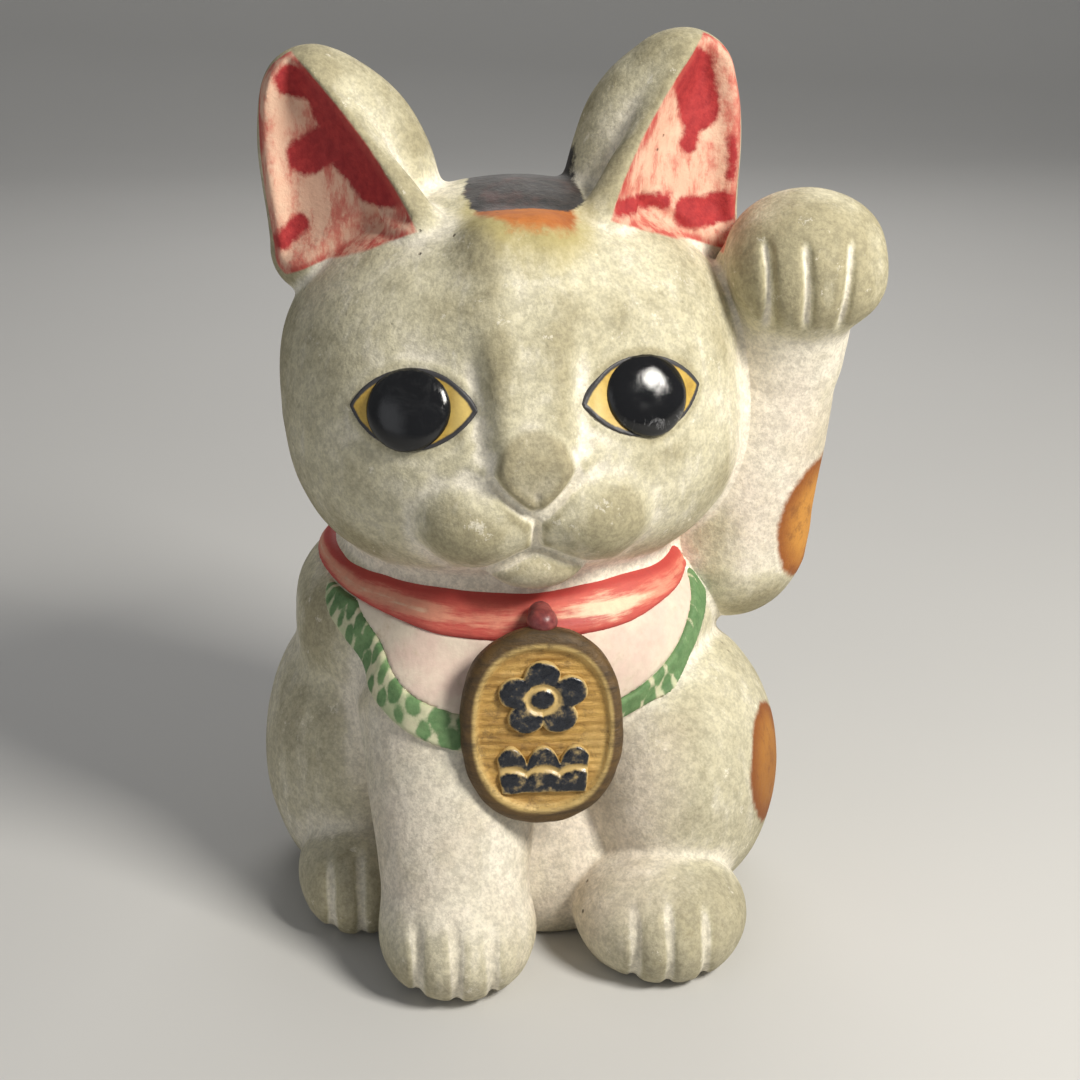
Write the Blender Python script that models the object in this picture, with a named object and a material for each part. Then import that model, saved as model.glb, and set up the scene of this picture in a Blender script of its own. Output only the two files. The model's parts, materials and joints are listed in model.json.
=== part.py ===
"""A seated beckoning cat figurine in moulded clay.

Four hollow shells (front and back of the head, front and back of the body) meet at a side
seam and at the neck, and a plate closes the base. The ears, raised arm, tail, collar, bib,
coin, bell and eyes are separate pieces luted onto those shells.

Metres, +Z up. The cat faces -Y and its raised arm is at +X. The origin is on the floor, on
the body's mid-plane. Dimensions below are in millimetres and mm() turns them into metres.
"""

import math

import bmesh
import bpy
from mathutils import Euler, Matrix, Vector
from mathutils.bvhtree import BVHTree

# Driving dimensions, in millimetres and degrees.
GAP = 0.35  # slip joint left between two pieces
SHEET_GAP = 0.5  # the same under a thin piece that follows the body's curve
WALL = 5.0
SEAM_Y = 4.0  # the plane where the front and back shells meet
BIG = 300.0  # a box side longer than the figure

HEAD_PIVOT = (-1.7, 0, 100)
HEAD_ROLL = -2.0
COLLAR_CENTRE = (-2, 0, 80)
COLLAR_PITCH = 5.0
COLLAR_ROLL = 3.0
COLLAR_HEIGHT = 8.0
COLLAR_THICKNESS = 2.6
BIB_RIGHT = (26.6, 0.0039)  # how far the bib hangs at the middle, and its rise per square degree
BIB_LEFT = (26.5, 0.0044)
BIB_THICKNESS = 1.1
BIB_RADIUS = 44.0
TRIM_THICKNESS = 1.9
TRIM_WIDTH = 6.5
TRIM_PARTING = 11.0  # degrees either side of the coin

COIN_CENTRE = (-1.0, -50.5, 57.5)
COIN_LEAN = -8.0  # the coin's top leans back with the chest
COIN_WIDTH = 33.0
COIN_HEIGHT = 42.0
COIN_THICKNESS = 7.0
COIN_BACKING = 15.0  # clay behind the coin, reaching in to the chest
COIN_RIM = 3.2
COIN_SINK = 0.9
MARK_HEIGHT = 1.3

EYE_CENTRE = (23, -36, 123.5)  # in head coordinates, mirrored for the other eye
EYE_YAW = 24.0
EYE_RIM = (28.4, 16.6)
EYE_RIM_THICKNESS = 0.9
EYE_BALL = (20.0, 15.4)
EYE_BALL_RISE = 3.4

BELL_CENTRE = (-0.5, -46.5, 77.2)
BELL_RADII = (3.4, 3.0, 3.0)

VENT_CENTRE = (-2, 15)
VENT_RADIUS = 8.0
PLATE_THICKNESS = 6.0

CLAY = (0.62, 0.58, 0.47)
COLLAR_RED = (0.62, 0.16, 0.12)
BIB_PINK = (0.78, 0.68, 0.60)
TRIM_GREEN = (0.22, 0.34, 0.17)
COIN_GOLD = (0.42, 0.28, 0.10)
MARK_BLACK = (0.015, 0.018, 0.025)
BELL_PLUM = (0.32, 0.10, 0.10)
EYE_BLACK = (0.012, 0.012, 0.014)
EYE_YELLOW = (0.50, 0.36, 0.10)


def mm(*values):
    """Millimetres to a Vector in metres."""
    return Vector(values) * 0.001


def placed(centre, turn=(0, 0, 0)):
    """A matrix that turns by degrees and then moves to centre, in millimetres."""
    return Matrix.Translation(mm(*centre)) @ Euler([math.radians(t) for t in turn]).to_matrix().to_4x4()


def material(name, colour, roughness, metallic=0.0):
    """A plain Principled material."""
    made = bpy.data.materials.new(name)
    made.use_nodes = True
    shader = made.node_tree.nodes["Principled BSDF"]
    shader.inputs["Base Color"].default_value = (*colour, 1)
    shader.inputs["Roughness"].default_value = roughness
    shader.inputs["Metallic"].default_value = metallic
    return made


def object_of(name, mesh, helper=False):
    """Links an object for the mesh. A helper is a cutter or a form, which isn't a piece."""
    made = bpy.data.objects.new(name, mesh)
    bpy.context.scene.collection.objects.link(made)
    made.hide_render = helper
    if helper:
        made.display_type = "WIRE"
    return made


def mesh_of(name, bm):
    """Closes a bmesh into a new mesh."""
    bmesh.ops.recalc_face_normals(bm, faces=bm.faces)
    mesh = bpy.data.meshes.new(name)
    bm.to_mesh(mesh)
    bm.free()
    return mesh


# Solids that the clay forms are built from. Each returns a bmesh.


def ball(centre, radii, turn=(0, 0, 0), rings=20):
    """An ellipsoid."""
    bm = bmesh.new()
    stretched = placed(centre, turn) @ Matrix.Diagonal((*mm(*radii), 1))
    bmesh.ops.create_uvsphere(bm, u_segments=rings + 8, v_segments=rings, radius=1, matrix=stretched)
    return bm


def limb(start, end, start_radius, end_radius):
    """A cone with two round ends: the hull of two balls."""
    bm = bmesh.new()
    for centre, radius in ((start, start_radius), (end, end_radius)):
        spread = Matrix.Translation(mm(*centre)) @ Matrix.Scale(radius * 0.001, 4)
        bmesh.ops.create_icosphere(bm, subdivisions=3, radius=1, matrix=spread)
    hull = bmesh.ops.convex_hull(bm, input=bm.verts)
    inside = [part for part in hull["geom_interior"] if isinstance(part, bmesh.types.BMVert)]
    bmesh.ops.delete(bm, geom=inside, context="VERTS")
    return bm


def box(low, high, frame=Matrix.Identity(4)):
    """A box between two corners, in millimetres, carried by a frame."""
    bm = bmesh.new()
    sizes = mm(*(h - l for l, h in zip(low, high)))
    middle = mm(*((h + l) / 2 for l, h in zip(low, high)))
    bmesh.ops.create_cube(bm, size=1, matrix=frame @ Matrix.Translation(middle) @ Matrix.Diagonal((*sizes, 1)))
    return bm


def prism(outline, near, far, frame=Matrix.Identity(4)):
    """An outline of (x, z) points, extruded along Y from near to far."""
    bm = bmesh.new()
    corners = [bm.verts.new(frame @ mm(x, near, z)) for x, z in outline]
    face = bm.faces.new(corners)
    grown = bmesh.ops.extrude_face_region(bm, geom=[face])
    moved = [part for part in grown["geom"] if isinstance(part, bmesh.types.BMVert)]
    bmesh.ops.translate(bm, verts=moved, vec=frame.to_3x3() @ mm(0, far - near, 0))
    return bm


def joined(name, solids):
    """One mesh that holds several overlapping closed solids."""
    whole = bmesh.new()
    for solid in solids:
        part = mesh_of("part_of_" + name, solid)
        whole.from_mesh(part)
        bpy.data.meshes.remove(part)
    mesh = bpy.data.meshes.new(name)
    whole.to_mesh(mesh)
    whole.free()
    return mesh


def evaluated(source, name):
    """A mesh with the object's modifiers applied, in world space."""
    bpy.context.view_layer.update()
    graph = bpy.context.evaluated_depsgraph_get()
    mesh = bpy.data.meshes.new_from_object(source.evaluated_get(graph))
    mesh.name = name
    mesh.transform(source.matrix_world)
    return mesh


def clay_form(name, solids, voxel, smoothing, share):
    """Overlapping solids pressed into one smooth closed form."""
    form = object_of(name, joined(name, solids), helper=True)
    remesh = form.modifiers.new("Remesh", "REMESH")
    remesh.mode = "VOXEL"
    remesh.voxel_size = voxel * 0.001
    smooth = form.modifiers.new("Smooth", "SMOOTH")
    smooth.iterations = smoothing
    decimate = form.modifiers.new("Decimate", "DECIMATE")
    decimate.ratio = share
    mesh = evaluated(form, name)
    form.modifiers.clear()
    form.data = mesh
    return form


def grown(form, distance, name):
    """A helper: the form's surface moved outwards by a distance."""
    mesh = form.data.copy()
    mesh.name = name
    helper = object_of(name, mesh, helper=True)
    if distance:
        displace = helper.modifiers.new("Grow", "DISPLACE")
        displace.strength = distance * 0.001
        displace.mid_level = 0
        helper.data = evaluated(helper, name)
        helper.modifiers.clear()
    return helper


def boolean(piece, operation, cutter):
    """Adds an exact Boolean modifier."""
    modifier = piece.modifiers.new(operation.title() + "_" + cutter.name, "BOOLEAN")
    modifier.operation = operation
    modifier.object = cutter


def cutter_of(name, bm):
    """A helper object for a bmesh solid."""
    return object_of(name, mesh_of(name, bm), helper=True)


def piece_of(name, mesh, look, keep=(), cut=()):
    """A named piece: a mesh, kept inside some helpers and cut by others."""
    piece = object_of(name, mesh)
    piece.data.materials.clear()
    piece.data.materials.append(look)
    for cutter in keep:
        boolean(piece, "INTERSECT", cutter)
    for cutter in cut:
        boolean(piece, "DIFFERENCE", cutter)
    piece.data.shade_smooth()
    piece.data.set_sharp_from_angle(angle=math.radians(35))
    return piece


# The clay forms.

head_frame = placed(HEAD_PIVOT, (0, HEAD_ROLL, 0)) @ Matrix.Translation(mm(0, 0, -100))
collar_frame = placed(COLLAR_CENTRE, (COLLAR_PITCH, COLLAR_ROLL, 0))


def in_head(bm):
    """Carries a solid from head coordinates, whose mid-plane is x = 0, to the figure."""
    bmesh.ops.transform(bm, matrix=head_frame, verts=bm.verts)
    return bm


def head_solids():
    """The head without its ears."""
    solids = [ball((0, 0, 123), (50.5, 42, 39), rings=28)]
    solids.append(limb((0, -25, 150), (0, -41, 118), 8, 7.5))
    solids.append(ball((0, -46.5, 115), (8, 6.5, 7)))
    solids.append(ball((0, -34, 102), (27, 15, 15)))
    solids.append(ball((0, -40, 92.5), (12, 8.5, 6.5)))
    for side in (-1, 1):
        solids.append(ball((side * 13, -9, 105), (34, 32, 26)))
        solids.append(ball((side * 11, -41.5, 105), (13, 10.5, 9.5)))
    return [in_head(solid) for solid in solids]


def body_solids():
    """The body with its standing foreleg, thighs and hind feet."""
    return [
        ball((-2, 6, 60), (47, 40, 44), rings=28),
        ball((-2, 10, 26), (48, 40, 42), rings=28),
        ball((-2, -6, 62), (40, 38, 30)),
        ball((-33, 1, 63), (19, 25, 23)),
        ball((3, -12, 12), (26, 31, 28)),
        limb((-19, -28, 52), (-19.5, -49, 15), 20, 15.5),
        ball((-19.5, -53, 9.5), (16, 17, 12)),
        ball((32, -12, 29), (25, 35, 33), (0, 0, -12)),
        ball((-42, 0, 32), (18, 28, 33), (0, 8, 15)),
        ball((25.5, -45, 9), (19, 22, 14)),
        ball((-40, -22, 9), (14, 20, 13)),
    ]


def ear_solids(side):
    """One ear, before its hollow is scooped out."""
    tip = (side * 40, 5, 180.5)
    outer = limb(tip, (side * 40.5, 5, 148), 8.5, 9.5)
    inner = limb(tip, (side * 20, 8, 152), 8.5, 12.5)
    middle = ball((side * 33, 7, 164), (18, 13, 24), (0, side * 20, 0))
    return [in_head(solid) for solid in (outer, inner, middle)]


def arm_solids():
    """The raised arm from its elbow up to the bent paw."""
    return [
        limb((46, 2, 79), (57, -6, 128), 19.5, 12.5),
        limb((57, -6, 125), (58.5, -11, 142), 12.5, 14),
        ball((59, -12, 146), (17.5, 16, 14.8)),
    ]


def tail_solids():
    """The tail, lying in a curl against the lower back."""
    solids = []
    turns = 6
    path = []
    for step in range(turns + 1):
        angle = math.radians(-105 + 120 * step / turns)
        path.append((2 + 26 * math.cos(angle), 47 - 0.12 * step * step, 32 + 22 * math.sin(angle)))
    for step in range(turns):
        radius = 8.5 - 0.45 * step
        solids.append(limb(path[step], path[step + 1], radius, radius - 0.45))
    return solids


def core_solids():
    """The hollow inside the shells: the main lumps of the body and head, less the wall."""
    w = WALL
    return [
        ball((-2, 6, 60), (47 - w, 40 - w, 44 - w), rings=24),
        ball((-2, 10, 26), (48 - w, 40 - w, 42 - w), rings=24),
        ball((-33, 1, 62), (19 - w, 25 - w, 23 - w)),
        ball((32, -12, 29), (25 - w, 35 - w, 33 - w), (0, 0, -12)),
        ball((-41, 1, 34), (17 - w, 26 - w, 28 - w), (0, 8, 15)),
        limb((-19, -28, 52), (-19.5, -46, 22), 20 - w, 15 - w),
        limb((-2, 4, 60), (-2, 2, 100), 27, 27),
        in_head(ball((0, 0, 123), (50.5 - w, 42 - w, 39 - w), rings=24)),
        in_head(ball((-13, -9, 105), (34 - w, 32 - w, 26 - w))),
        in_head(ball((13, -9, 105), (34 - w, 32 - w, 26 - w))),
    ]


# Outlines on the chest and the coin, as (x, z) points in millimetres.


def bib_edge(angle, inset=0.0):
    """A point of the bib's lower edge, as (angle round the neck, height), moved inwards by inset."""
    drop, rise = BIB_RIGHT if angle < 0 else BIB_LEFT
    slope = 2 * rise * angle * math.degrees(1) / BIB_RADIUS
    length = math.hypot(1, slope)
    moved = angle - math.degrees(inset * slope / length / BIB_RADIUS)
    return moved, rise * angle * angle - drop + inset / length


def oval(width, height, steps=40):
    """A flattened oval, between an ellipse and a rounded rectangle."""
    points = []
    power = 2 / 2.35
    for step in range(steps):
        angle = math.tau * step / steps
        across, up = math.cos(angle), math.sin(angle)
        x = math.copysign(abs(across) ** power, across)
        z = math.copysign(abs(up) ** power, up)
        points.append((width / 2 * x, height / 2 * z))
    return points


def coin_plate():
    """The oval coin with a raised rim round a sunken face, and the clay that backs it."""
    frame = placed(COIN_CENTRE, (COIN_LEAN, 0, 0))
    back = COIN_THICKNESS / 2 + COIN_BACKING
    bm = prism(oval(COIN_WIDTH, COIN_HEIGHT), back, -COIN_THICKNESS / 2, frame)
    out = frame.to_3x3() @ Vector((0, -1, 0))
    bmesh.ops.recalc_face_normals(bm, faces=bm.faces)
    front = max((f for f in bm.faces if len(f.verts) > 4), key=lambda f: f.calc_center_median().dot(out))
    rim = [edge for edge in front.edges]
    bmesh.ops.bevel(bm, geom=rim, offset=0.0012, segments=2, affect="EDGES", profile=0.6)
    bm.faces.ensure_lookup_table()
    front = max((f for f in bm.faces if len(f.verts) > 4), key=lambda f: f.calc_center_median().dot(out))
    bmesh.ops.inset_region(bm, faces=[front], thickness=COIN_RIM * 0.001)
    bmesh.ops.inset_region(bm, faces=[front], thickness=0.0006)
    bmesh.ops.translate(bm, verts=front.verts, vec=-out * COIN_SINK * 0.001)
    return bm


def coin_mark(outline):
    """A raised motif standing on the coin's sunken face."""
    face = -COIN_THICKNESS / 2 + COIN_SINK - GAP
    return prism(outline, face, face - MARK_HEIGHT, placed(COIN_CENTRE, (COIN_LEAN, 0, 0)))


def blossom(centre_z, radius, petals=5, steps=40):
    """A round five-petalled blossom."""
    points = []
    for step in range(steps):
        angle = math.tau * step / steps
        reach = radius * (0.80 + 0.20 * math.cos(petals * (angle - math.pi / 2)))
        points.append((1.22 * reach * math.cos(angle), centre_z + 0.92 * reach * math.sin(angle)))
    return points


def wave(centre_z, width, height, steps=24):
    """A band whose upper edge rises in three round crests."""
    top = []
    for step in range(steps + 1):
        across = step / steps
        crest = abs(math.sin(3 * math.pi * across)) ** 0.7
        top.append((width * (across - 0.5), centre_z + height * (0.1 + 0.4 * crest)))
    bottom = [(width * 0.36, centre_z - height / 2), (-width * 0.36, centre_z - height / 2)]
    return top + bottom


# Thin pieces that lie on a clay form. Each is a grid of rays that meet the form's surface.


def spread(count, low=-1.0, high=1.0):
    """Evenly spaced values from low to high."""
    return [low + (high - low) * step / (count - 1) for step in range(count)]


def wrapped(name, form, grid, closed=False):
    """A sheet on the form: grid rows hold (origin, direction, thickness) rays, in metres."""
    tree = BVHTree.FromPolygons([v.co for v in form.data.vertices], [p.vertices for p in form.data.polygons])
    bm = bmesh.new()
    under, over = [], []
    for row in grid:
        under.append([])
        over.append([])
        for origin, direction, thickness in row:
            # An outward ray starts inside the form; an inward one starts outside it.
            point, normal, face, reach = tree.ray_cast(origin, direction)
            out = direction if normal.dot(direction) > 0 else -direction
            under[-1].append(bm.verts.new(point + out * SHEET_GAP * 0.001))
            over[-1].append(bm.verts.new(point + out * (SHEET_GAP * 0.001 + thickness)))
    rows, columns = len(grid), len(grid[0])
    for row in range(rows - 1):
        for column in range(columns if closed else columns - 1):
            after = (column + 1) % columns
            for layer in (under, over):
                bm.faces.new([layer[row][column], layer[row][after], layer[row + 1][after], layer[row + 1][column]])
    rims = [[(row, 0, row + 1, 0), (row, columns - 1, row + 1, columns - 1)] for row in range(rows - 1)]
    sides = [] if closed else [side for pair in rims for side in pair]
    for column in range(columns if closed else columns - 1):
        after = (column + 1) % columns
        sides += [(0, column, 0, after), (rows - 1, column, rows - 1, after)]
    for a, b, c, d in sides:
        bm.faces.new([under[a][b], under[c][d], over[c][d], over[a][b]])
    return mesh_of(name, bm)


def neck_ray(angle, height, thickness):
    """A ray outwards from the collar's axis; angle 0 looks to the front."""
    turn = math.radians(angle)
    direction = collar_frame.to_3x3() @ Vector((math.sin(turn), -math.cos(turn), 0))
    return collar_frame @ mm(0, 0, height), direction, thickness * 0.001


def collar_grid():
    """A round-edged band all round the neck."""
    rows = []
    for up in spread(5):
        thickness = COLLAR_THICKNESS * (1 - 0.6 * abs(up) ** 4)
        angles = [360 * step / 60 for step in range(60)]
        rows.append([neck_ray(angle, up * COLLAR_HEIGHT / 2, thickness) for angle in angles])
    return rows


def bib_grid():
    """The panel inside the bib's trim, up to the collar."""
    top = -COLLAR_HEIGHT / 2 - GAP
    columns = []
    for angle in spread(27, -61, 57):
        inner_angle, bottom = bib_edge(angle, TRIM_WIDTH + GAP)
        columns.append([neck_ray(inner_angle, height, BIB_THICKNESS) for height in spread(7, bottom, top)])
    return columns


def trim_grid(start, end):
    """A raised run of the bib's edge between two angles."""
    columns = []
    for angle in spread(18, start, end):
        column = []
        for across in spread(5):
            edge_angle, height = bib_edge(angle, TRIM_WIDTH * (1 + across) / 2)
            column.append(neck_ray(edge_angle, height, TRIM_THICKNESS * (1 - 0.45 * across ** 4)))
        columns.append(column)
    return columns


def eye_ray(side, x, z, thickness):
    """A ray into the face at (x, z) on the eye's own plane, with x measured away from the nose."""
    across, back, up = EYE_CENTRE
    frame = head_frame @ placed((side * across, back, up), (0, 0, side * EYE_YAW))
    return frame @ mm(side * x, -20, z), frame.to_3x3() @ Vector((0, 1, 0)), thickness * 0.001


def eye_rim_grid(side):
    """The pointed almond that the eye's dome sits on."""
    width, height = EYE_RIM
    columns = []
    for across in spread(15, -0.985, 0.985):
        half = height / 2 * (1 - abs(across) ** 1.9) ** 0.92
        rays = [eye_ray(side, across * width / 2, up * half, EYE_RIM_THICKNESS) for up in spread(5)]
        columns.append(rays)
    return columns


def eye_ball_grid(side):
    """The oval dome."""
    width, height = EYE_BALL
    columns = []
    for u in spread(11):
        column = []
        for v in spread(11):
            x = u * math.sqrt(1 - v * v / 2)
            z = v * math.sqrt(1 - u * u / 2)
            rise = math.sqrt(max(0.0, 1 - x * x - z * z))
            column.append(eye_ray(side, x * width / 2, z * height / 2, 0.25 + EYE_BALL_RISE * rise))
        columns.append(column)
    return columns


def region(name, above, front, low_z=0.0):
    """The block of space that holds one shell: above or below the neck, in front or behind the seam."""
    half = GAP / 2
    low_y, high_y = (-BIG, SEAM_Y - half) if front else (SEAM_Y + half, BIG)
    seam_side = cutter_of(name + "_side", box((-BIG, low_y, low_z), (BIG, high_y, BIG)))
    low, high = (half, BIG) if above else (-BIG, -half)
    neck_side = cutter_of(name + "_end", box((-BIG, -BIG, low), (BIG, BIG, high), collar_frame))
    return [seam_side, neck_side]


def build():
    """Makes every piece of the figurine."""
    clay = material("aged_clay", CLAY, 0.75)
    form = clay_form("form", head_solids() + body_solids(), 2.0, 14, 0.06)
    core = clay_form("core", core_solids(), 3.0, 4, 0.10)
    joint = grown(form, GAP, "form_joint")

    # Four shells, from the same form, so that their outsides run on across the joints.
    for name, above, front in (
        ("face_shell", True, True),
        ("head_back_shell", True, False),
        ("body_front_shell", False, True),
        ("body_back_shell", False, False),
    ):
        piece_of(name, form.data.copy(), clay, keep=region(name, above, front), cut=[core])

    # The plate that closes the base, with its vent hole.
    plug = grown(core, -GAP, "core_plug")
    slab = mesh_of("base_plate", box((-BIG, -BIG, 0), (BIG, BIG, PLATE_THICKNESS)))
    vent = bmesh.new()
    vent_frame = Matrix.Translation(mm(*VENT_CENTRE, 0))
    bmesh.ops.create_cone(
        vent, cap_ends=True, segments=24, radius1=VENT_RADIUS * 0.001,
        radius2=VENT_RADIUS * 0.001, depth=0.05, matrix=vent_frame,
    )
    piece_of("base_plate", slab, clay, keep=[plug], cut=[cutter_of("vent", vent)])

    # Ears, raised arm and tail.
    for name, side in (("ear_right", -1), ("ear_left", 1)):
        ear = clay_form(name + "_form", ear_solids(side), 1.6, 5, 0.09)
        scoop = in_head(ball((side * 49, -29, 160), (30, 30, 50), (0, side * 12, side * -22), rings=28))
        piece_of(name, ear.data, clay, cut=[cutter_of(name + "_scoop", scoop), joint])
    arm = clay_form("arm_form", arm_solids(), 1.8, 10, 0.08)
    ear_joint = grown(bpy.data.objects["ear_left_form"], GAP, "ear_joint")
    piece_of("raised_arm", arm.data.copy(), clay, cut=[joint, ear_joint])
    tail = clay_form("tail_form", tail_solids(), 1.8, 3, 0.16)
    floor = cutter_of("floor", box((-BIG, -BIG, -BIG), (BIG, BIG, 0.5)))
    piece_of("tail", tail.data, clay, cut=[joint, floor])
    arm_joint = grown(arm, GAP, "arm_joint")

    # Collar, bib panel and the two runs of its trim, wrapped round the neck and chest.
    half = COLLAR_HEIGHT / 2
    red = material("collar_red", COLLAR_RED, 0.6)
    collar = piece_of("collar_band", wrapped("collar_band", form, collar_grid(), closed=True), red)
    boolean(collar, "DIFFERENCE", arm_joint)
    pink = material("bib_pink", BIB_PINK, 0.7)
    piece_of("bib_panel", wrapped("bib_panel", form, bib_grid()), pink, cut=[arm_joint])
    green = material("trim_green", TRIM_GREEN, 0.7)
    over_bib = cutter_of("over_bib", box((-BIG, -BIG, -half - GAP), (BIG, BIG, BIG), collar_frame))
    for name, start, end in (("right", -80, -TRIM_PARTING), ("left", TRIM_PARTING, 74)):
        strip = wrapped("bib_trim_" + name, form, trim_grid(start, end))
        piece_of("bib_trim_" + name, strip, green, cut=[over_bib, arm_joint])

    # Coin, its two motifs and the bell above it.
    seat = grown(form, TRIM_THICKNESS + SHEET_GAP + GAP, "coin_seat")
    collar_joint = grown(form, COLLAR_THICKNESS + SHEET_GAP + GAP, "collar_joint")
    wide_band = cutter_of("wide_band", box((-BIG, -BIG, -half - GAP), (BIG, BIG, half + GAP), collar_frame))
    boolean(collar_joint, "INTERSECT", wide_band)
    gold = material("coin_gold", COIN_GOLD, 0.5, 0.2)
    coin = piece_of("coin", mesh_of("coin", coin_plate()), gold, cut=[seat, collar_joint])
    black = material("mark_black", MARK_BLACK, 0.3)
    piece_of("coin_mark_upper", mesh_of("coin_mark_upper", coin_mark(blossom(6.8, 8.2))), black)
    piece_of("coin_mark_lower", mesh_of("coin_mark_lower", coin_mark(wave(-8.5, 18, 10))), black)
    bell_seat = grown(object_of("coin_joint", evaluated(coin, "coin_joint"), helper=True), GAP, "bell_seat")
    plum = material("bell_plum", BELL_PLUM, 0.4)
    bell = mesh_of("collar_bell", ball(BELL_CENTRE, BELL_RADII, rings=14))
    piece_of("collar_bell", bell, plum, cut=[collar_joint, bell_seat, seat])

    # Eyes: a yellow almond on the face, with a black dome on it.
    yellow = material("eye_yellow", EYE_YELLOW, 0.5)
    glossy = material("eye_black", EYE_BLACK, 0.1)
    eye_form = grown(form, EYE_RIM_THICKNESS + SHEET_GAP, "eye_form")
    for name, side in (("right", -1), ("left", 1)):
        piece_of("eye_rim_" + name, wrapped("eye_rim_" + name, form, eye_rim_grid(side)), yellow)
        piece_of("eye_" + name, wrapped("eye_" + name, eye_form, eye_ball_grid(side)), glossy)


bpy.context.scene.unit_settings.system = "METRIC"
for leftover in list(bpy.data.objects):
    bpy.data.objects.remove(leftover)
build()
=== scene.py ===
"""The look of a hand-painted clay beckoning cat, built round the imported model.

The clay is sculpted as distance fields (rounded lumps pressed together, with grooves cut in),
turned into fine meshes, and painted by masks stored on their points. Sculpting is in
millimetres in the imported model's frame: +Z up, the cat faces -Y, its raised arm is at +X.
"""

import json
import math

import bpy
import numpy as np
import openvdb
from mathutils import Matrix, Vector


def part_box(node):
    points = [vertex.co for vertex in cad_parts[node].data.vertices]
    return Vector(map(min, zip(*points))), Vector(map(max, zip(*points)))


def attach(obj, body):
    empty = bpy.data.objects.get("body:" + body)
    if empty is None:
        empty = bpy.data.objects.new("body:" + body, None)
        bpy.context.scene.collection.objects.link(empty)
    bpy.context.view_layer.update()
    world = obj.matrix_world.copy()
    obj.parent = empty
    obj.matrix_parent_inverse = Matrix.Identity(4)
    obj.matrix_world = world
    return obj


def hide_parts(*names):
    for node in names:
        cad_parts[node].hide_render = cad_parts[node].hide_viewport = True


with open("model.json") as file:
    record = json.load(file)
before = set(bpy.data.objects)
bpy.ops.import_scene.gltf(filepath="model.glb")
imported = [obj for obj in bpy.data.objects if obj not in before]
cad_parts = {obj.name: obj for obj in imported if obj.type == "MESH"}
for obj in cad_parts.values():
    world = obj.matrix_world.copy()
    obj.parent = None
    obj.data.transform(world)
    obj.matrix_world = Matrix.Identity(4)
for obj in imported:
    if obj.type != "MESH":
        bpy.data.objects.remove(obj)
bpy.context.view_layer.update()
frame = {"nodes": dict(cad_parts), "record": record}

MM = 0.001
BODY = "root"

# ---- Places, in millimetres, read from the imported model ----


def box_mm(*nodes):
    """Lowest and highest corner of some CAD nodes."""
    corners = [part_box(node) for node in nodes]
    low = np.min([np.array(c[0]) for c in corners], axis=0) / MM
    high = np.max([np.array(c[1]) for c in corners], axis=0) / MM
    return low, high


def middle_mm(*nodes):
    """Centre of the box round some CAD nodes."""
    low, high = box_mm(*nodes)
    return (low + high) / 2


rest_point = next(m["pos_m"] for m in frame["record"]["mounts"] if m["name"] == "base_rest")
BASE = np.array(rest_point) / MM
BELL_MIDDLE = middle_mm("collar_bell")

HEAD_PIVOT = np.array((-1.7, 0.0, 100.0))
HEAD_ROLL = 2.0  # degrees, the top of the head towards the cat's right
COLLAR_SEAT = BASE + np.array((-2.0, 0.0, 80.0))
COLLAR_PITCH = 5.0  # degrees, lower in front
COLLAR_ROLL = 3.0
COLLAR_CLIMB = 2.6  # how far the collar rises towards the raised arm, and sinks on the other side
COLLAR_HALF = 4.1
COIN_LEAN = 8.0  # degrees, the coin's top leans back with the chest

# ---- Distance fields: each takes points (N, 3) and gives the distance to a surface ----


def smin(a, b, k):
    """Union with a fillet."""
    h = np.clip(0.5 + 0.5 * (b - a) / k, 0, 1)
    return b + (a - b) * h - k * h * (1 - h)


def smax(a, b, k):
    """Intersection with a rounded edge."""
    return -smin(-a, -b, k)


def rotation(x, y, z):
    """A rotation matrix for turns in degrees, about X first and Z last."""
    ax, ay, az = (math.radians(t) for t in (x, y, z))
    cx, sx, cy, sy, cz, sz = (f(t) for t in (ax, ay, az) for f in (math.cos, math.sin))
    rx = np.array(((1, 0, 0), (0, cx, -sx), (0, sx, cx)))
    ry = np.array(((cy, 0, sy), (0, 1, 0), (-sy, 0, cy)))
    rz = np.array(((cz, -sz, 0), (sz, cz, 0), (0, 0, 1)))
    return (rz @ ry @ rx).astype(np.float32)


def local(p, centre, turn=(0, 0, 0)):
    """Points in the frame that sits at centre and is turned by turn."""
    return (p - np.asarray(centre, np.float32)) @ rotation(*turn)


def ball(p, centre, radii, turn=(0, 0, 0)):
    """An ellipsoid."""
    q = local(p, centre, turn)
    r = np.asarray(radii, np.float32)
    a = np.linalg.norm(q / r, axis=-1)
    b = np.linalg.norm(q / (r * r), axis=-1)
    return a * (a - 1) / np.maximum(b, 1e-6)


def limb(p, start, end, start_radius, end_radius):
    """A round-ended cone."""
    a = np.asarray(start, np.float32)
    d = np.asarray(end, np.float32) - a
    h = np.clip((p - a) @ d / (d @ d), 0, 1)
    radius = start_radius + (end_radius - start_radius) * h
    return np.linalg.norm(p - a - h[..., None] * d, axis=-1) - radius


def path_distance(x, z, points):
    """Distance in the x-z plane from a line through points."""
    best = np.full(x.shape, 1e3, np.float32)
    for (x0, z0), (x1, z1) in zip(points, points[1:]):
        dx, dz = x1 - x0, z1 - z0
        h = np.clip(((x - x0) * dx + (z - z0) * dz) / (dx * dx + dz * dz), 0, 1)
        best = np.minimum(best, np.hypot(x - x0 - h * dx, z - z0 - h * dz))
    return best


def groove(x, z, points, width, depth):
    """How far a soft groove along points cuts into the surface."""
    return depth * np.exp(-((path_distance(x, z, points) / width) ** 2))


def ramp(value, start, end):
    """0 at start, 1 at end, smooth between."""
    t = np.clip((value - start) / (end - start), 0, 1)
    return t * t * (3 - 2 * t)


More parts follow.
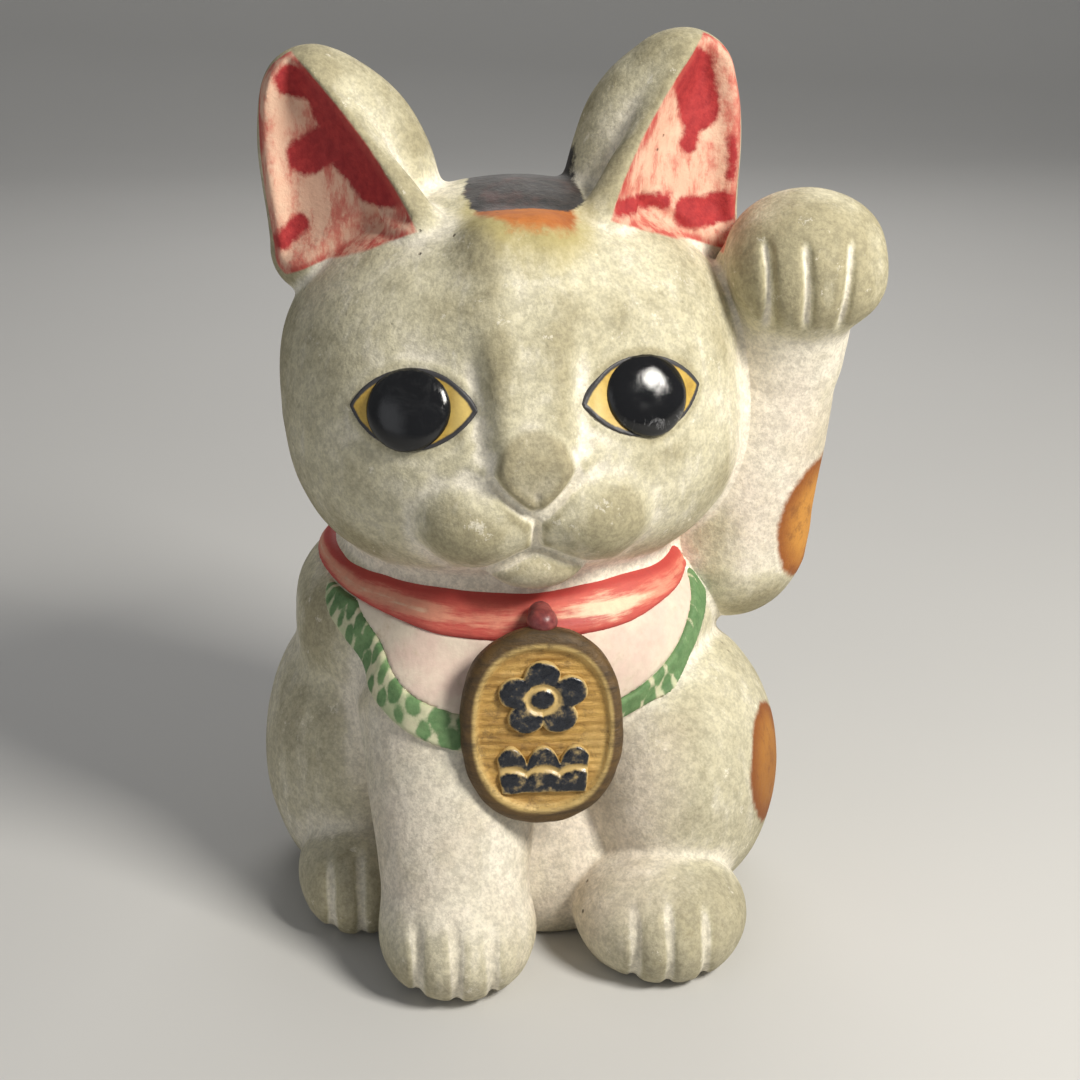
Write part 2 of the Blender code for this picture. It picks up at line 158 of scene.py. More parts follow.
LATTICE = 24
LATTICE_VALUES = np.random.default_rng(11).random((LATTICE, LATTICE, LATTICE), dtype=np.float32) * 2 - 1


def lumps(p, size, shift=0.0):
    """Smooth seeded noise between -1 and 1, with features of about size mm."""
    q = p / size + shift
    cell = np.floor(q).astype(np.int32)
    f = q - cell
    f = f * f * (3 - 2 * f)
    total = np.zeros(p.shape[:-1], np.float32)
    for corner in range(8):
        offset = np.array((corner & 1, (corner >> 1) & 1, corner >> 2))
        i, j, k = np.moveaxis((cell + offset) % LATTICE, -1, 0)
        weight = np.prod(np.where(offset, f, 1 - f), axis=-1)
        total += weight * LATTICE_VALUES[i, j, k]
    return total


def hand_made(p):
    """The unevenness that a pressed and hand-smoothed clay wall keeps."""
    return 0.28 * lumps(p, 13.0) + 0.12 * lumps(p, 5.0, 3.7)


# ---- The clay forms ----


def head_points(p):
    """Points in head coordinates, where the head's mid-plane is x = 0."""
    return local(p, HEAD_PIVOT, (0, -HEAD_ROLL, 0)) + np.array((0, 0, HEAD_PIVOT[2]), np.float32)


def mirrored(q):
    """Head coordinates folded onto the +x side."""
    m = q.copy()
    m[..., 0] = np.abs(m[..., 0])
    return m


def collar_points(p):
    """Points in collar coordinates: height above the collar's middle is z."""
    return local(p, COLLAR_SEAT, (COLLAR_PITCH, COLLAR_ROLL, 0))


def neck_angle(p):
    """Angle round the neck in degrees; 0 looks to the front."""
    c = collar_points(p)
    return np.degrees(np.arctan2(c[..., 0], -c[..., 1]))


def collar_height(p):
    """Height above the collar's middle line, which climbs towards the raised arm."""
    return collar_points(p)[..., 2] - 0.3 - COLLAR_CLIMB * np.sin(np.radians(neck_angle(p)))


def ear_cone(m):
    """The ear before it is hollowed, with the thick roll down its inner edge."""
    d = limb(m, (40.5, 4.5, 181.2), (41.0, 5, 148), 7.9, 9.9)
    d = smin(d, limb(m, (39.5, 4, 181), (23, 7, 150), 7.2, 13.0), 7)
    d = smin(d, ball(m, (33, 7, 165), (17.5, 13, 24), (0, 20, 0)), 6)
    return smin(d, limb(m, (39.5, -0.5, 183.5), (19.0, -14.0, 154.5), 4.2, 5.2), 3)


def ear_inner_edge(x, z):
    """Distance past the bowed line from an ear's inner foot to its tip."""
    return (22.0 - x) * 0.84 + (z - 158.0) * 0.543 + 0.006 * (z - 171) ** 2 - 1.8


def ear_outline(m):
    """The hollowed triangle inside an ear, as a distance in the x-z plane."""
    x, z = m[..., 0], m[..., 2]
    outer = x - 50.9 + 0.012 * np.maximum(z - 168, 0) ** 2 + 0.010 * np.maximum(152 - z, 0) ** 2
    lower = 144.2 + 0.446 * (50.0 - x) - z
    return smax(smax(ear_inner_edge(x, z), outer, 1.2), lower, 1.5)


def ear_paint(m):
    """How far outside the painted part of an ear; the paint runs down to the brow."""
    x, z = m[..., 0], m[..., 2]
    lower = 143.2 + 0.41 * (50.0 - x) - z
    wall = ear_wall(m)
    behind = wall - 2.0 - 5.0 * ramp(50.0 - x, 4.0, 14.0)
    outside = np.maximum(ear_inner_edge(x, z), lower)
    return np.maximum(outside, np.maximum(-wall - 5.0, behind))


def ear_wall(m):
    """Height in front of the ear's hollow, slightly dished wall."""
    x, z = m[..., 0], m[..., 2]
    plane = -44.9 + 0.556 * x + 0.107 * z
    dish = 4.0 * (1 - ramp(ear_outline(m), -7.0, 0.5)) - 0.12 * np.maximum(x - 42, 0)
    return (m[..., 1] - plane - dish) * 0.86


def ear_scoop(m):
    """What is taken out of an ear."""
    return smax(ear_outline(m), ear_wall(m), 1.0)


EYE_MIDDLE = (22.9, -36.0, 123.5)
EYE_TURN = 24.0  # degrees, round the side of the face
ALMOND_WIDTH = 27.4
ALMOND_HEIGHT = 15.7
BRIDGE_HALF = 3.8  # half the flat width of the nose's bridge
NOSE_HEIGHT = 1.9


def eye_points(m):
    """Eye coordinates: x away from the nose, z up, y into the head."""
    return local(m, EYE_MIDDLE, (0, 0, EYE_TURN))


def almond(e):
    """The pointed outline round an eye, as a distance in its own plane."""
    radius = (ALMOND_WIDTH ** 2 + ALMOND_HEIGHT ** 2) / (4 * ALMOND_HEIGHT)
    shift = radius - ALMOND_HEIGHT / 2
    upper = np.hypot(e[..., 0], e[..., 2] + shift)
    lower = np.hypot(e[..., 0], e[..., 2] - shift)
    return np.maximum(upper, lower) - radius


def nose_outline(q):
    """The nose's rounded triangle, as a distance in the x-z plane."""
    x, z = np.abs(q[..., 0]), q[..., 2]
    slant = (x - 7.9) * 0.72 - (z - 109.6) * 0.694
    top = np.hypot(x / 1.0, (z - 112.4) / 1.1) - 8.1
    return smax(slant, top, 1.8)


# Centre lines of the face's grooves as (x, z), on the +x side of the head's mid-plane.
NOSE_SIDE = ((0.0, 101.0), (4.5, 105.4), (8.4, 109.9), (10.2, 114.5))
NOSE_NICK = ((0.2, 107.6), (0.3, 103.6))
PHILTRUM = ((0.0, 101.2), (0.0, 94.2))
MOUTH = ((0.0, 94.2), (3.2, 93.0), (6.8, 90.9), (10.6, 88.9), (14.0, 88.1))
CHIN = ((0.0, 83.4), (5.5, 84.4), (10.2, 87.2))
BROW = ((9.8, 116.0), (10.4, 126.0), (10.8, 138.0))
PAD_RIM = ((8.6, 108.6), (13.5, 110.6), (19.5, 109.4), (24.2, 104.0), (24.6, 97.5), (20.0, 90.5))


def white_lines(q):
    """The sharp grooves, which are also painted whiter."""
    ax, z = np.abs(q[..., 0]), q[..., 2]
    cut = groove(ax, z, PHILTRUM, 1.0, 1.7)
    cut = np.maximum(cut, groove(ax, z, MOUTH, 1.05, 1.6) * (1 - 0.75 * ramp(ax, 7, 14)))
    cut = np.maximum(cut, groove(ax, z, NOSE_SIDE, 1.0, 1.2) * (1 - ramp(z, 108, 114)))
    cut = np.maximum(cut, groove(ax, z, CHIN, 1.3, 0.7))
    return cut * ramp(-q[..., 1], 22, 34)


def brow_lines(q):
    """The soft valleys beside the nose and round the muzzle pads."""
    x, z = q[..., 0], q[..., 2]
    ax = np.abs(x)
    cut = groove(x, z, NOSE_NICK, 0.6, 0.6)
    cut = np.maximum(cut, groove(ax, z, BROW, 2.8, 1.7) * (1 - 0.8 * ramp(z, 126, 140)))
    cut = np.maximum(cut, groove(ax, z, PAD_RIM, 2.4, 0.55))
    return cut * ramp(-q[..., 1], 22, 34)


def skull(m):
    """The head's rounded masses, without ears or grooves."""
    d = ball(m, (0, 0, 123), (50.5, 42, 39))
    jowl = ball(m, (13, -9, 104.5), (34, 32, 26))
    muzzle = ball(m, (0, -30, 104), (27, 17, 17))
    socket = ball(m, (24, -51, 133), (15, 12.5, 15), (0, 0, 14))
    d = smax(smin(smin(d, jowl, 14), muzzle, 10), -socket, 10)
    flat = m.copy()
    flat[..., 0] = np.maximum(m[..., 0] - BRIDGE_HALF, 0)
    bridge = limb(flat, (0, -24.5, 151), (0, -41.5, 116.5), 7.6, 7.2)
    whisker_pad = ball(m, (11.8, -38.6, 100.4), (13.0, 11.0, 10.4), (0, 8, 14))
    chin = ball(m, (0, -37.2, 89.2), (11.0, 9.0, 6.0))
    return smin(smin(smin(d, bridge, 6), whisker_pad, 3.5), chin, 2.5)


def nose_lift(q):
    """How far the nose stands out; it fades into the bridge above."""
    below_bridge = 1 - 0.85 * ramp(q[..., 2], 112, 121)
    on_nose = 1 - ramp(nose_outline(q), -1.6, 0.3)
    return NOSE_HEIGHT * below_bridge * on_nose * ramp(-q[..., 1], 25, 36)


def eyelid(q, m):
    """The faint raised line round each almond."""
    rim = np.exp(-((almond(eye_points(m)) - 0.6) / 0.9) ** 2)
    return 0.35 * rim * ramp(-q[..., 1], 15, 22)


def head_form(p):
    """Head, ears and the neck they share with the body."""
    q = head_points(p)
    m = mirrored(q)
    d = skull(m) - nose_lift(q) + np.maximum(white_lines(q), brow_lines(q)) - eyelid(q, m)
    ear = smax(ear_cone(m), -ear_scoop(m), 0.9)
    return smin(d, ear, 2.0)


def body_lumps(p):
    """The body and legs, with their creases but without fine grooves."""
    back = ball(p, (-2, 6, 60), (47, 40, 44))
    rump = ball(p, (-2, 10, 26), (48, 40, 42))
    chest = ball(p, (-2, -6, 62), (40, 38, 30))
    shoulder = ball(p, (-33, 1, 63), (19, 25, 23))
    belly = ball(p, (3, -12, 12), (26, 31, 28))
    d = smin(smin(back, rump, 12), chest, 10)
    d = smin(smin(d, shoulder, 8), belly, 8)
    foreleg = limb(p, (-19, -28, 52), (-19.5, -49, 15), 20, 15.5)
    forefoot = ball(p, (-19.5, -53, 9.5), (16.5, 17.5, 12.5))
    d = smin(d, smin(foreleg, forefoot, 5), 3.5)
    left_thigh = ball(p, (32, -12.5, 29), (25, 35, 33), (0, 0, -12))
    right_thigh = ball(p, (-42, 0, 32), (18, 28, 33), (0, 8, 15))
    d = smin(smin(d, left_thigh, 1.6), right_thigh, 3)
    left_foot = ball(p, (25.5, -45, 9), (19, 22, 14))
    right_foot = ball(p, (-40, -22, 9), (14, 20, 13))
    d = smin(smin(d, left_foot, 1.3), right_foot, 1.3)
    return d + toe_lines(p)


# Toe grooves as (x, top), for the forefoot and the two hind feet.
FORE_TOES = ((-28.3, 19), (-20.4, 20), (-12.9, 19))
LEFT_HIND_TOES = ((17.9, 17.5), (24.8, 18.5), (32.6, 17))
RIGHT_HIND_TOES = ((-46.2, 18), (-39.9, 19.5))
TOE_WIDTH = 1.05
TOE_DEPTH = 1.35


def foot_lines(p, toes, front, fade, depth=TOE_DEPTH):
    """Upright grooves on one foot, where front gives the -y range over which they deepen."""
    cut = np.zeros(p.shape[:-1], np.float32)
    for line_x, top in toes:
        reach = ramp(-p[..., 1], *front) * (1 - ramp(p[..., 2], top - fade, top + 2))
        cut = np.maximum(cut, depth * np.exp(-((p[..., 0] - line_x) / TOE_WIDTH) ** 2) * reach)
    return cut


def toe_lines(p):
    """Grooves between the toes of the three feet on the floor."""
    cut = foot_lines(p, FORE_TOES, (48, 57), 5)
    cut = np.maximum(cut, foot_lines(p, LEFT_HIND_TOES, (40, 50), 4))
    outer = ramp(-p[..., 0], 34, 37)
    return np.maximum(cut, foot_lines(p, RIGHT_HIND_TOES, (28, 36), 4, 1.3) * outer)


TAIL_LINKS = 6
TAIL_RADIUS = 8.5
TAIL_TAPER = 0.45  # per link


def tail_form(p):
    """A tail that curls over the lower back."""
    d = np.full(p.shape[:-1], 50, np.float32)
    angles = np.radians(-105 + 120 * np.arange(TAIL_LINKS + 1) / TAIL_LINKS)
    path = [(2 + 26 * math.cos(a), 47 - 0.12 * i * i, 32 + 22 * math.sin(a)) for i, a in enumerate(angles)]
    for link in range(TAIL_LINKS):
        radius = TAIL_RADIUS - TAIL_TAPER * link
        d = smin(d, limb(p, path[link], path[link + 1], radius, radius - TAIL_TAPER), 3)
    return d


PAW_TOES = ((48.6, 49.5), (56.0, 57.0), (65.6, 64.4))  # x at the top and at the foot
PAW_GROOVE = 1.7


def arm_form(p):
    """The raised arm and its bent paw."""
    foreleg = limb(p, (46, 2, 79), (57, -6, 128), 19.5, 12.5)
    wrist = limb(p, (56.5, -6, 125), (58, -10.5, 142), 12.8, 14.2)
    paw = ball(p, (59.3, -11, 147.0), (17.2, 15.5, 13.6))
    toes = ball(p, (59.5, -17.5, 141.5), (15.6, 10.0, 10.5))
    web = limb(p, (42.0, -7.5, 138), (43.6, -7.5, 144.2), 3.2, 2.8)  # closes the gap to the ear
    d = smin(smin(foreleg, wrist, 3), smin(paw, toes, 5), 4)
    return smin(d, web, 2.5) + paw_lines(p)


def paw_lines(p):
    """Three grooves that splay slightly down the bent paw."""
    x, y, z = p[..., 0], p[..., 1], p[..., 2]
    cut = np.zeros(x.shape, np.float32)
    for top_x, low_x in PAW_TOES:
        line_x = low_x + (top_x - low_x) * (z - 135) / 16
        cut += PAW_GROOVE * np.exp(-((x - line_x) / TOE_WIDTH) ** 2)
    return cut * ramp(-y, 14, 21) * ramp(z, 132, 137.5) * (1 - ramp(z, 149, 153.5))


NECK_PINCH = 2.2


def body_and_neck(p):
    """Body and head pressed together at the neck, pinched in where the collar lies."""
    angle = np.abs(neck_angle(p))
    sides = ramp(angle, 48, 80) * (1 - ramp(angle, 105, 140))
    pinch = NECK_PINCH * sides * np.exp(-((collar_height(p) / 5.5) ** 2))
    return smin(body_lumps(p), head_form(p), 4) + pinch


def seat_of_arm(d, p):
    """A fillet on d where the arm is luted to it, just under the arm's own skin."""
    arm = smax(arm_form(p) + 0.45, d - 6.0, 1.0)
    return smin(d, arm, 3.2)


def head_clay(p):
    """The head piece, cut off at the collar's middle."""
    d = seat_of_arm(body_and_neck(p), p)
    return np.maximum(d + hand_made(p), -collar_height(p))


def body_clay(p):
    """The body piece, flat underneath, cut off at the collar's middle."""
    d = smin(seat_of_arm(body_and_neck(p), p), tail_form(p), 3)
    d = smax(d + hand_made(p), BASE[2] - p[..., 2], 2.2)
    return np.maximum(np.maximum(d, -base_opening(p)), collar_height(p))


def base_opening(p):
    """The mouth of the hollow body that the base plate closes, and the space above it."""
    x, y, _ = middle_mm("base_plate")
    return ball(p, (x, y, BASE[2] - 2), (46, 38, 22)) + 1.0


def arm_clay(p):
    """The arm piece."""
    return arm_form(p) + hand_made(p)


def skin(p):
    """The outside of the whole cat, which the painted relief lies on."""
    return smin(body_and_neck(p), arm_form(p), 2)


# ---- From fields to meshes ----

BLOCK = 6  # grid cells along a block's side
BATCH = 2000  # blocks worked out at a time
FAR = 5.0  # the distance stored away from the surface


def polygonise(field, low, high, step):
    """A quad mesh of the field's surface. Only blocks near the surface are worked out finely."""
    low = np.asarray(low, np.float64)
    side = step * BLOCK
    counts = np.ceil((np.asarray(high) - low) / side).astype(int)
    axes = [low[i] + side * (np.arange(counts[i]) + 0.5) - step / 2 for i in range(3)]
    centres = np.stack(np.meshgrid(*axes, indexing="ij"), -1).astype(np.float32)
    coarse = field(centres.reshape(-1, 3)).reshape(counts)
    grid = np.where(coarse > 0, FAR, -FAR).astype(np.float32)
    grid = grid[:, None, :, None, :, None] * np.ones((1, BLOCK, 1, BLOCK, 1, BLOCK), np.float32)
    near = np.argwhere(np.abs(coarse) < side * 0.9 + 3.0)
    fine = np.stack(np.meshgrid(*[np.arange(BLOCK)] * 3, indexing="ij"), -1)
    for start in range(0, len(near), BATCH):
        blocks = near[start : start + BATCH]
        index = blocks[:, None, None, None, :] * BLOCK + fine
        values = field((low + index * step).astype(np.float32).reshape(-1, 3))
        values = values.reshape(len(blocks), BLOCK, BLOCK, BLOCK)
        i, j, k = blocks.T
        grid[i, :, j, :, k, :] = values
    grid = grid.reshape(counts * BLOCK)
    volume = openvdb.FloatGrid(FAR)
    volume.copyFromArray(np.ascontiguousarray(grid))
    points, quads = volume.convertToQuads()
    return np.asarray(points) * step + low, np.asarray(quads)[:, ::-1]


def sculpted(name, field, margin, step, replaced, material, marks=None, beside=()):
    """A piece made from a field, looked for in the box of the CAD nodes that it replaces.

    The box is widened by a margin and to the nodes beside it. marks gives the point
    attributes that the material reads.
    """
    low, high = box_mm(*replaced, *beside)
    points, quads = polygonise(field, low - margin, high + margin, step)
    mesh = bpy.data.meshes.new(name)
    mesh.from_pydata((points * MM).tolist(), [], quads.tolist())
    mesh.shade_smooth()
    mesh.update()
    mesh.materials.append(material)
    if marks:
        for key, values in marks(points.astype(np.float32)).items():
            layer = mesh.attributes.new(key, "FLOAT", "POINT")
            layer.data.foreach_set("value", np.ascontiguousarray(values, np.float32))
    piece = bpy.data.objects.new(name, mesh)
    bpy.context.scene.collection.objects.link(piece)
    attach(piece, BODY)
    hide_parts(*replaced)


def normals_of(field, p, h=0.6):
    """Outward directions of a field."""
    axes = np.eye(3, dtype=np.float32) * h
    g = np.stack([field(p + a) - field(p - a) for a in axes], -1)
    return g / np.maximum(np.linalg.norm(g, axis=-1, keepdims=True), 1e-6)


RING = 5  # points looked at round each point


def openness(p, field, n, reach):
    """How far the surface falls away round each point: above 0 on a bulge, below 0 in a crease."""
    side = np.cross(n, np.array((0.31, 0.47, 0.83), np.float32))
    side /= np.maximum(np.linalg.norm(side, axis=-1, keepdims=True), 1e-6)
    other = np.cross(n, side)
    total = np.zeros(len(p), np.float32)
    for turn in range(RING):
        angle = 2 * math.pi * turn / RING
        total += field(p + (side * math.cos(angle) + other * math.sin(angle)) * reach)
    return total / (RING * reach)


# ---- Where the paint goes: distances in millimetres, negative inside a painted patch ----


def blobs(x, z, shapes):
    """Distance to a set of round-ended strokes, each (x0, z0, x1, z1, radius)."""
    best = np.full(x.shape, 30.0, np.float32)
    for x0, z0, x1, z1, radius in shapes:
        best = np.minimum(best, path_distance(x, z, ((x0, z0), (x1, z1 + 1e-3))) - radius)
    return best


# Red strokes in the ears, each from one (x, z) to another with a radius.
EAR_RED_RIGHT = (
    (-43.8, 184.3, -39.0, 183.0, 3.4),
    (-36.5, 181.5, -32.5, 171.5, 4.4),
    (-32.0, 171.0, -27.0, 164.5, 5.6),
    (-42.0, 168.4, -36.5, 172.0, 3.8),
    (-48.4, 151.0, -44.0, 154.5, 2.0),
)
EAR_RED_LEFT = (
    (40.5, 182.5, 42.0, 174.5, 4.9),
    (41.5, 174.0, 39.3, 167.5, 2.3),
    (22.5, 157.6, 33.0, 156.4, 1.7),
    (38.5, 153.0, 46.6, 153.2, 3.3),
    (48.8, 160.0, 49.2, 167.0, 1.2),
)


def crown_black(q):
    """The black patch between the ears, a rectangle with round corners."""
    dx = np.maximum(np.abs(q[..., 0] - 3.2) - 6.5, 0)
    dy = np.maximum(np.abs(q[..., 1] + 2.0) - 10.5, 0)
    return np.hypot(dx, dy) - 5.1 + 1.2 * lumps(q, 9.0, 6.0)


def crown_orange(q):
    """The orange half-oval in front of it."""
    return (np.hypot((q[..., 0] - 2.9) / 10.6, (q[..., 1] + 17.5) / 12.4) - 1) * 10.6


def side_spot(p, centre, reach, height):
    """An oval patch on a limb's outer side."""
    across = np.hypot(p[..., 0] - centre[0], p[..., 1] - centre[1]) / reach
    return (np.hypot(across, (p[..., 2] - centre[2]) / height) - 1) * reach


def pale_parts(p):
    """1 on the cleaner chest, forelegs and arm."""
    x, y, z = p[..., 0], p[..., 1], p[..., 2]
    chest = np.hypot((x + 6) / 37, (z - 44) / 46)
    chest = (1 - ramp(chest, 0.72, 1.15)) * ramp(-y, 2, 20)
    arm = ramp(x, 40, 48) * ramp(z, 66, 78) * (1 - ramp(z, 124, 134)) * ramp(-y, -8, 8)
    return np.maximum(chest, arm)


def clay_marks(p):
    """Masks for the clay pieces."""
    n = normals_of(skin, p)
    q = head_points(p)
    m = mirrored(q)
    x, z = q[..., 0], q[..., 2]
    red = np.where(x < 0, blobs(x, z, EAR_RED_RIGHT), blobs(x, z, EAR_RED_LEFT))
    top = z > 148
    spots = np.minimum(
        side_spot(p, (63.5, -8.0, 86.0), 11.7, 15.0),
        side_spot(p, (52.5, -24.5, 33.0), 14.0, 13.5),
    )
    front = -q[..., 1] > 25
    return {
        "tight": openness(p, skin, n, 2.2),
        "wide": openness(p, skin, n, 8.0),
        "line": white_lines(q) / 1.7 + toe_lines(p) / TOE_DEPTH,
        "nose": np.where(front, nose_outline(q), 20.0),
        "ear_hollow": np.where(z > 140, ear_paint(m), 8.0),
        "ear_red": red,
        "crown_black": np.where(top, crown_black(q), 20.0),
        "crown_orange": np.where(top, crown_orange(q), 20.0),
        "side_orange": spots,
        "pale": pale_parts(p),
    }


# ---- Collar and bib: relief on the neck and chest ----

# The bib's lower edge on each side: how deep it hangs, and how fast it rises with the angle squared.
BIB_RIGHT = (25.4, 0.0039)
BIB_LEFT = (27.8, 0.0044)
BIB_RADIUS = 44.0  # of the chest under it
TRIM_WIDTH = 6.5
TRIM_LEFT_NARROWER = 1.0
TRIM_PARTING = 11.0  # degrees from the middle, where the coin parts the trim
DAB_STEP = 5.6
RELIEF_END = 5.0  # the bib ends this far behind the cat's middle
SUNK = 0.8  # how deep the thin pieces reach into the clay


def bib_height(p):
    """Distance outside the bib's lower edge, along the skin; negative on the bib."""
    angle = neck_angle(p)
    drop = np.where(angle < 0, BIB_RIGHT[0], BIB_LEFT[0])
    rise = np.where(angle < 0, BIB_RIGHT[1], BIB_LEFT[1])
    slope = 2 * rise * angle * math.degrees(1) / BIB_RADIUS
    edge = rise * angle * angle - drop
    return (edge - collar_points(p)[..., 2]) / np.hypot(1, slope)


def collar_band(p):
    """Height within the collar, -1 at its lower edge to 1 at its upper edge, and its half width."""
    angle = np.abs(neck_angle(p))
    half = COLLAR_HALF - 1.9 * ramp(angle, 25, 75) * (1 - ramp(angle, 95, 130))
    return (collar_height(p) + 0.2 * lumps(p, 9.0, 5.0)) / half, half


def collar_field(p):
    """A soft-edged band all round the neck."""
    d = body_and_neck(p)
    height, half = collar_band(p)
    proud = 1.3 - 0.7 * np.abs(height) ** 3 + 0.2 * lumps(p, 7.0, 1.3)
    d = smax(smax(d - proud, (np.abs(height) - 1) * half, 1.2), -d - 1.2, 0.3)
    return np.maximum(d, -(arm_form(p) - 0.3))


def trim_field(side):
    """One run of the bib's raised edge, from the collar down to the coin."""

    def field(p):
        d = body_and_neck(p)
        out = bib_height(p)
        width = TRIM_WIDTH if side < 0 else TRIM_WIDTH - TRIM_LEFT_NARROWER
        across = np.abs(out + TRIM_WIDTH / 2 + 0.3 * lumps(p, 8.0, 2.0)) - width / 2
        body = smax(d - 1.15 - 0.2 * lumps(p, 5.0, 7.0), across, 0.9)
        body = smax(body, -d - SUNK, 0.3)
        body = np.maximum(body, (TRIM_PARTING - side * neck_angle(p)) * 0.75)
        body = np.maximum(body, collar_height(p) + collar_band(p)[1] + 0.2)
        return np.maximum(body, p[..., 1] - RELIEF_END)

    return field


def panel_field(p):
    """The bib inside its raised edge."""
    d = body_and_neck(p)
    body = smax(d - 0.6, bib_height(p) + TRIM_WIDTH - 0.4, 0.8)
    body = np.maximum(body, -d - SUNK)
    body = np.maximum(body, collar_height(p) + collar_band(p)[1] - 0.4)
    return np.maximum(body, p[..., 1] - RELIEF_END)


# ---- Coin, ornaments, bell and eyes ----

COIN_WIDTH = 34.0
COIN_HEIGHT = 42.0
COIN_ROUNDNESS = 2.35  # 2 would be an ellipse
COIN_HALF = 3.5  # half its thickness
COIN_BACK = 18.5  # how far the clay behind it may reach
COIN_FACE = 2.3  # how far its sunken face lies in front of its middle
COIN_RIM = 3.3
BLOSSOM_MIDDLE = 6.4
WAVE_MIDDLE = -8.7
WAVE_WIDTH = 20.5
PETALS = 5
CRESTS = 3


def coin_middle():
    """Centre of the coin, found from its foremost and topmost points; clay backs it."""
    low, high = box_mm("coin")
    sine, cosine = math.sin(math.radians(COIN_LEAN)), math.cos(math.radians(COIN_LEAN))
    behind_front = COIN_HEIGHT / 2 * sine + COIN_HALF * cosine
    under_top = COIN_HEIGHT / 2 * cosine + COIN_HALF * sine
    return np.array(((low[0] + high[0]) / 2, low[1] + behind_front, high[2] - under_top))


COIN_MIDDLE = coin_middle()


def coin_points(p):
    """Coin coordinates: y = 0 is the middle of its thickness, -y is its face."""
    return local(p, COIN_MIDDLE, (-COIN_LEAN, 0, 0))


def coin_outline(c):
    """Distance to the coin's oval."""
    across = np.abs(c[..., 0] / (COIN_WIDTH / 2)) ** COIN_ROUNDNESS
    upward = np.abs(c[..., 2] / (COIN_HEIGHT / 2)) ** COIN_ROUNDNESS
    return ((across + upward) ** (1 / COIN_ROUNDNESS) - 1) * COIN_WIDTH / 2


def coin_field(p):
    """A thick oval coin with a soft rim round a flat face."""
    c = coin_points(p)
    edge = coin_outline(c) + 0.25 * lumps(p, 9.0, 4.0)
    d = smax(edge, np.abs(c[..., 1]) - COIN_HALF, 3.0)
    back = np.maximum(c[..., 1] - COIN_BACK, -body_and_neck(p) - 1.0)
    backing = np.maximum(np.maximum(edge + 1.8, back), -c[..., 1])
    d = smin(d, backing, 0.8)
    face = smax(edge + COIN_RIM, c[..., 1] + COIN_FACE, 0.8)
    ripple = 0.13 * np.sin(c[..., 2] * 3.6 + 2.0 * lumps(p, 11.0)) * (1 - ramp(edge, -5.0, -3.4))
    return smax(d, -face, 0.9) + ripple + 0.12 * lumps(p, 3.0)


def on_coin(outline_distance, c, height):
    """Relief on the coin's face with that outline."""
    top = -c[..., 1] - COIN_FACE - height
    foot = c[..., 1] + COIN_FACE - 0.6
    return np.maximum(smax(outline_distance, top, 0.9), foot)


def blossom_field(p):
    """A five-petalled blossom with a dimple in its middle."""
    c = coin_points(p)
    x, z = c[..., 0] / 1.24, (c[..., 2] - BLOSSOM_MIDDLE) / 1.06
    outline = np.hypot(x, z) - 3.0
    for petal in range(PETALS):
        angle = math.radians(90 + 360 * petal / PETALS)
        petal_x, petal_z = 4.6 * math.cos(angle), 4.6 * math.sin(angle)
        outline = np.minimum(outline, np.hypot(x - petal_x, z - petal_z) - 3.1)
    cuts = 0.7 * np.exp(-((np.hypot(x, z) - 2.5) / 0.6) ** 2)
    return on_coin(outline + 0.25 * lumps(p, 2.5), c, 1.35 - cuts)


def wave_field(p):
    """A band of three round crests."""
    c = coin_points(p)
    x, z = c[..., 0], c[..., 2] - WAVE_MIDDLE
    crest = 4.4 * np.abs(np.sin(CRESTS * math.pi * (x / WAVE_WIDTH + 0.5))) ** 0.55 + 0.6
    outline = np.maximum(np.maximum(z - crest, -z - 5.2), np.abs(x) - 9.4 - 0.12 * z)
    inner = np.abs(z - crest * 0.35 + 1.5) - 0.1
    return on_coin(outline + 0.2 * lumps(p, 2.5), c, 1.3 - 0.6 * np.exp(-(inner / 0.6) ** 2))


def bell_field(p):
    """A small squashed bead pressed onto the coin's top and the collar."""
    behind = BELL_MIDDLE + np.array((0, 4.0, 0))
    d = smin(ball(p, BELL_MIDDLE, (3.2, 3.2, 2.8)), limb(p, BELL_MIDDLE, behind, 2.2, 2.6), 1.0)
    return d + 0.12 * lumps(p, 2.0)


DOME_WIDTH = 9.0  # half of it
DOME_HEIGHT = 8.0  # half of it
DOME_RISE = 3.6
EYES_END = 14.0  # nothing of the eyes lies nearer than this to the head's middle


def eye_side(p, side):
    """Head and eye coordinates with one eye's side of the head turned to +x."""
    q = head_points(p)
    q[..., 0] = q[..., 0] * side
    return q, eye_points(q)


def almond_field(side):
    """A thin almond of paint on the face."""

    def field(p):
        q, e = eye_side(p, side)
        d = body_and_neck(p)
        body = smax(d - 0.55, almond(e), 0.5)
        return np.maximum(np.maximum(body, -d - SUNK), q[..., 1] + EYES_END)

    return field


def dome_field(side):
    """The glossy dome."""

    def field(p):
        q, e = eye_side(p, side)
        d = body_and_neck(p)
        across = np.hypot((e[..., 0] - 0.7) / DOME_WIDTH, (e[..., 2] + 0.1) / DOME_HEIGHT)
        height = DOME_RISE * np.sqrt(np.maximum(1 - across ** 2, 0)) + 0.06 * lumps(p, 3.0)
        body = np.maximum(d - height, (across - 1) * DOME_HEIGHT)
        return np.maximum(np.maximum(body, -d - SUNK), q[..., 1] + EYES_END)

    return field


# ---- Materials ----


